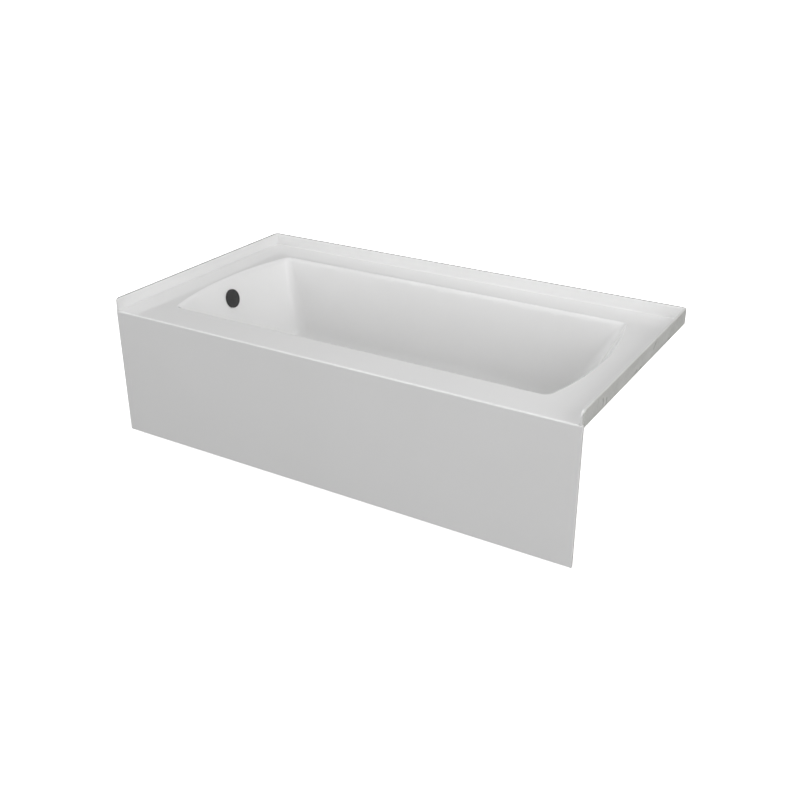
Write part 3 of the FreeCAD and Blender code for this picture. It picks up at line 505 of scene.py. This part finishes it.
def recessed_head(bm, place, radius, height, dome, reach):
    """A screw head with a cross recess; its face looks along the place's -Z, its shank up +Z."""
    steps = 48
    slot = 0.17 * radius
    cross_end = 0.62 * radius

    def depth_at(x, y):
        near = min(abs(x), abs(y))
        far = max(abs(x), abs(y))
        if far > cross_end:
            return 0.0
        sides = min(1.0, max(0.0, (slot - near) / (0.4 * slot)))
        end = min(1.0, (cross_end - far) / (0.2 * radius))
        return 0.42 * height * sides * end

    face_rings = []
    for share in (0.02, 0.08, 0.14, 0.2, 0.28, 0.36, 0.44, 0.52, 0.6, 0.68, 0.78, 0.88, 0.95, 1.0):
        ring = []
        for i in range(steps):
            angle = TURN * i / steps
            x, y = share * radius * math.cos(angle), share * radius * math.sin(angle)
            z = -height + dome * share ** 2.6 + depth_at(x, y)
            ring.append(place @ Vector((x, y, z)))
        face_rings.append(ring)
    for r, z in reach:
        face_rings.append([place @ Vector((r * math.cos(TURN * i / steps), r * math.sin(TURN * i / steps), z))
                           for i in range(steps)])
    rows(bm, face_rings)


# Wood screws that hold the cross rails to the board
SCREW_ROWS = (-140.0, -60.0, 60.0, 140.0)    # across the tub, in millimetres
SCREW_HEAD_RADIUS, SCREW_SHANK_RADIUS = 4.5 * MM, 2.15 * MM
low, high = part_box("rail_screws")
head = 2.5 * MM
bm = bmesh.new()
for rail in ("cross_rail_left", "cross_rail_right"):
    x = middle(rail).x
    for y in SCREW_ROWS:
        turn = Matrix.Rotation(0.7 + 1.3 * y, 4, "Z")
        place = Matrix.Translation((x, y * MM, low[2] + head)) @ turn
        shank = [(SCREW_HEAD_RADIUS, 0.0), (SCREW_SHANK_RADIUS, 0.0), (SCREW_SHANK_RADIUS, 6.0 * MM),
                 (1.2 * MM, high[2] - low[2] - head)]
        recessed_head(bm, place, SCREW_HEAD_RADIUS, head, 1.1 * MM, shank)
piece("rail_screw_set", bm, zinc, "tub", "rail_screws", sharp=38.0)


def slip_nut(name, mouth_side):
    """A slip nut with eight moulded grips; mouth_side says which way along its axis the tube comes out."""
    low, high = (Vector(v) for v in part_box(name))
    centre = (low + high) / 2.0
    size = high - low
    axis = min(range(3), key=lambda i: size[i])
    length = size[axis]
    direction = Vector((0.0, 0.0, 0.0))
    direction[axis] = mouth_side
    turn_to_axis = direction.to_track_quat("Z", "Y").to_matrix().to_4x4()
    place = Matrix.Translation(centre - direction * length / 2.0) @ turn_to_axis
    outer, inner, tube = 26.85 * MM, 23.28 * MM, 19.22 * MM
    grip = 2.0 * MM
    profile = [(inner, 0.0), (25.6 * MM, 0.0), (outer, 0.9 * MM), (outer, length - 4.2 * MM),
               (26.3 * MM, length - 2.2 * MM), (24.6 * MM, length - 0.5 * MM), (23.8 * MM, length),
               (tube, length), (tube, length - 3.0 * MM), (inner, length - 3.0 * MM)]

    def gripped(angle, radius, height):
        if radius < 25.5 * MM or height < 0.5 * MM:
            return radius
        turn = ((angle + TURN / 16.0) % (TURN / 8.0)) - TURN / 16.0
        share = min(1.0, max(0.0, 1.0 - (abs(turn) * outer - 1.5 * MM) / (0.8 * MM)))
        fine = 0.5 + 0.5 * math.cos(angle * 48.0)
        raised = grip * share * (1.0 if radius > 26.5 * MM else 0.55)
        return radius + raised - 0.25 * MM * fine * (1.0 - share)

    bm = bmesh.new()
    lathe(bm, profile, place, 240, gripped, closed_loop=True)
    piece(name + "_gripped", bm, nut_plastic, "tub", name, sharp=32.0)


slip_nut("shoe_slip_nut", -1.0)
slip_nut("tee_side_slip_nut", 1.0)
slip_nut("tee_top_slip_nut", 1.0)

# Stopper cap: shallow dome with a turned groove, and its plunger
low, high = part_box("stopper_cap")
centre = middle("stopper_cap")
top = high[2]
bm = bmesh.new()
bottom = top - 6.0 * MM
profile = [(0.0005, low[2]), (2.4 * MM, low[2]), (3.0 * MM, low[2] + 0.6 * MM), (3.0 * MM, bottom - 1.0 * MM),
           (3.6 * MM, bottom), (23.0 * MM, bottom), (23.8 * MM, bottom + 0.7 * MM),
           (24.0 * MM, bottom + 1.6 * MM), (23.9 * MM, top - 3.4 * MM), (23.3 * MM, top - 2.4 * MM),
           (22.2 * MM, top - 1.75 * MM), (20.6 * MM, top - 1.3 * MM), (20.0 * MM, top - 1.45 * MM),
           (19.4 * MM, top - 1.45 * MM), (18.8 * MM, top - 1.0 * MM), (14.0 * MM, top - 0.5 * MM),
           (8.0 * MM, top - 0.15 * MM), (3.0 * MM, top - 0.02 * MM), (0.4 * MM, top)]
lathe(bm, profile, Matrix.Translation((centre.x, centre.y, 0.0)), 96)
piece("stopper_cap_turned", bm, trim, "stopper", "stopper_cap", sharp=40.0)

# Overflow screws: flat heads with a cross recess, square to the slope of the end wall
END_WALL_SLOPE = math.radians(15.0)
SCREW_OFFSET = 18.0 * MM
HEAD_RADIUS = 4.0 * MM
inward = Vector((math.cos(END_WALL_SLOPE), 0.0, math.sin(END_WALL_SLOPE)))
screw_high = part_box("overflow_screws")[1]
bm = bmesh.new()
tip = 22.0 * MM
head_height = 1.8 * MM
for side in (-SCREW_OFFSET, SCREW_OFFSET):
    # the head's face is a disc square to the slope, so its middle follows from the box's high corner
    face = Vector((screw_high[0] - HEAD_RADIUS * math.sin(END_WALL_SLOPE), side,
                   screw_high[2] - HEAD_RADIUS * math.cos(END_WALL_SLOPE)))
    place = Matrix.Translation(face) @ (-inward).to_track_quat("Z", "Y").to_matrix().to_4x4()
    turn = Matrix.Rotation(0.4 if side < 0 else 1.1, 4, "Z")
    shank = [(3.95 * MM, 0.05 * MM), (2.2 * MM, head_height), (2.2 * MM, 18.0 * MM), (1.4 * MM, tip)]
    recessed_head(bm, place @ turn, 3.95 * MM, 0.9 * MM, 0.0, shank)
piece("overflow_screw_pair", bm, trim, "tub", "overflow_screws", sharp=35.0)


# ---------------------------------------------------------------- stage, light and camera
def backdrop(name, points, faces):
    """A plain white sheet of the studio that only the camera sees; it lights and shades nothing."""
    mesh = bpy.data.meshes.new(name)
    mesh.from_pydata(points, [], faces)
    mesh.materials.append(paper.material)
    sheet = bpy.data.objects.new(name, mesh)
    scene.collection.objects.link(sheet)
    sheet.visible_diffuse = False
    sheet.visible_glossy = False
    sheet.visible_shadow = False


paper = Surface("white_paper", roughness=0.9)
paper.color(paper.blend(paper.noise(2.0, 2.0), (0.90, 0.90, 0.90), (0.93, 0.93, 0.93)))
paper.shader.inputs["Emission Color"].default_value = (1.0, 1.0, 1.0, 1.0)
paper.shader.inputs["Emission Strength"].default_value = 1.0
REACH = 40.0
WALL_STEPS = 32
FLOOR_HEIGHT = -12.5 * MM    # below the feet at rest, because they reach down another 12 mm
angles = [TURN * i / WALL_STEPS for i in range(WALL_STEPS)]
foot_ring = [(REACH * math.cos(angle), REACH * math.sin(angle), FLOOR_HEIGHT) for angle in angles]
backdrop("studio_floor", foot_ring, [tuple(range(WALL_STEPS))])
head_ring = [(x, y, REACH) for x, y, z in foot_ring]
sides = [(i, (i + 1) % WALL_STEPS) for i in range(WALL_STEPS)]
backdrop("studio_wall", foot_ring + head_ring, [(i, i + WALL_STEPS, j + WALL_STEPS, j) for i, j in sides])

# Broad soft glows of the room: compass angle from the front, height angle, tightness and strength.
# The fill, the glows' strengths and the lights' powers were fitted to the photograph's brightness.
FILL = 0.015
GLOWS = {
    "front_left": (315.0, 15.0, 4.0, 0.59),
    "back": (180.0, 25.0, 4.0, 0.54),
}
world = bpy.data.worlds.new("studio_world")
scene.world = world
world.use_nodes = True
room = world.node_tree
direction = room.nodes.new("ShaderNodeTexCoord").outputs["Generated"]
room.nodes["Background"].inputs["Color"].default_value = (1.0, 1.0, 1.0, 1.0)


def room_maths(operation, *values):
    node = room.nodes.new("ShaderNodeMath")
    node.operation = operation
    for socket, value in zip(node.inputs, values):
        if isinstance(value, bpy.types.NodeSocket):
            room.links.new(value, socket)
        else:
            socket.default_value = value
    return node.outputs[0]


glow = room_maths("ADD", FILL, 0.0)
for compass, height, tightness, strength in GLOWS.values():
    compass, height = math.radians(compass), math.radians(height)
    facing = room.nodes.new("ShaderNodeVectorMath")
    facing.operation = "DOT_PRODUCT"
    room.links.new(direction, facing.inputs[0])
    level = math.cos(height)
    facing.inputs[1].default_value = (math.sin(compass) * level, -math.cos(compass) * level, math.sin(height))
    lobe = room_maths("POWER", room_maths("MAXIMUM", facing.outputs["Value"], 0.0), tightness)
    glow = room_maths("MULTIPLY_ADD", lobe, strength, glow)
room.links.new(glow, room.nodes["Background"].inputs["Strength"])


def softbox(name, place, target, width, height, power):
    light = bpy.data.lights.new(name, "AREA")
    light.shape = "RECTANGLE"
    light.size = width
    light.size_y = height
    light.energy = power
    lamp = bpy.data.objects.new(name, light)
    scene.collection.objects.link(lamp)
    lamp.location = place
    lamp.rotation_euler = (Vector(target) - Vector(place)).to_track_quat("-Z", "Y").to_euler()
    lamp.visible_camera = False


# Each light's place, the point that it faces, its width and height, and its power
LIGHTS = {
    "front_low": ((0.3, -5.0, 1.3), (0.0, 0.0, 0.3), 8.0, 2.5, 110.0),
    "overhead": ((0.0, -0.3, 4.2), (0.0, 0.0, 0.0), 5.0, 4.0, 77.0),
    "right": ((4.8, -0.8, 2.1), (0.0, 0.0, 0.3), 5.0, 4.0, 155.0),
    "left": ((-4.8, -1.4, 2.1), (0.0, 0.0, 0.3), 4.5, 4.0, 43.0),
    "back_low": ((0.0, 3.6, 0.2), (0.0, 0.0, 0.2), 7.0, 0.38, 34.0),
}
for name, values in LIGHTS.items():
    softbox(name, *values)

lens = bpy.data.cameras.new("photo_camera")
lens.lens = 46.5288
lens.sensor_width = 36.0
lens.clip_end = 200.0
camera = bpy.data.objects.new("photo_camera", lens)
scene.collection.objects.link(camera)
camera.location = (1.52115, -2.50529, 1.52790)
camera.rotation_euler = tuple(math.radians(angle) for angle in (64.36167, 0.12706, 31.06760))
scene.camera = camera

scene.view_settings.view_transform = "Standard"
scene.view_settings.look = "None"
scene.view_settings.exposure = 0.0
